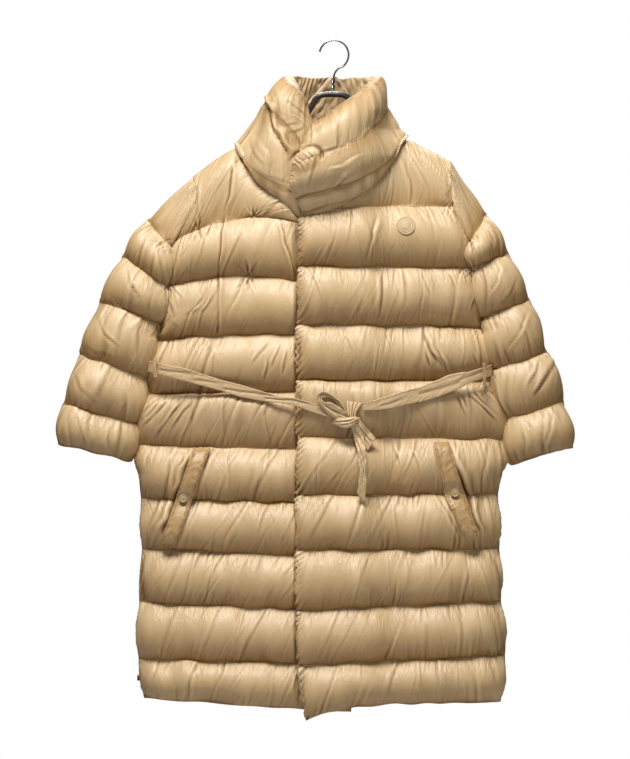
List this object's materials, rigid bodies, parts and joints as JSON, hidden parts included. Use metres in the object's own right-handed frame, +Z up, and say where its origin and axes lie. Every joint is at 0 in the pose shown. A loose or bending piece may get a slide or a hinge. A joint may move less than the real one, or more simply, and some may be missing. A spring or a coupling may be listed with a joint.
{
  "type": "long puffer coat on a hanger",
  "caption": "Long quilted puffer coat with a big funnel collar, slanted padded pocket welts and a tied fabric belt, closed, hanging on a slim hanger with a wire hook",
  "frame": {"origin": "the point inside the top of the hanger's hook that rests on a rail", "axes": "+Z up, the front of the coat looks along -Y, the wearer's left is at +X"},
  "size_m": [0.9477, 0.1851, 1.2555],
  "materials": {
    "nylon": "satin pale beige-gold nylon, down filled and quilted",
    "black_tag": "matte black woven ribbon",
    "black_plastic": "smooth black",
    "steel": "bright steel wire"
  },
  "bodies": {
    "root": {"back_panel": "nylon", "front_left": "nylon", "front_right": "nylon", "sleeve_left": "nylon", "sleeve_right": "nylon", "collar": "nylon", "pocket_welt_left": "nylon", "pocket_welt_right": "nylon", "pocket_snap_left": "nylon", "pocket_snap_right": "nylon", "chest_patch": "nylon", "belt_front_left": "nylon", "belt_front_right": "nylon", "belt_back": "nylon", "belt_knot": "nylon", "belt_bow": "nylon", "belt_tail_short": "nylon", "belt_tail_long": "nylon", "belt_loop_left": "nylon", "belt_loop_right": "nylon", "side_stud": "nylon", "hanging_loop": "nylon", "hem_tag": "black_tag", "hanger_arms": "black_plastic", "hanger_hook": "steel"}
  },
  "joints": []
}
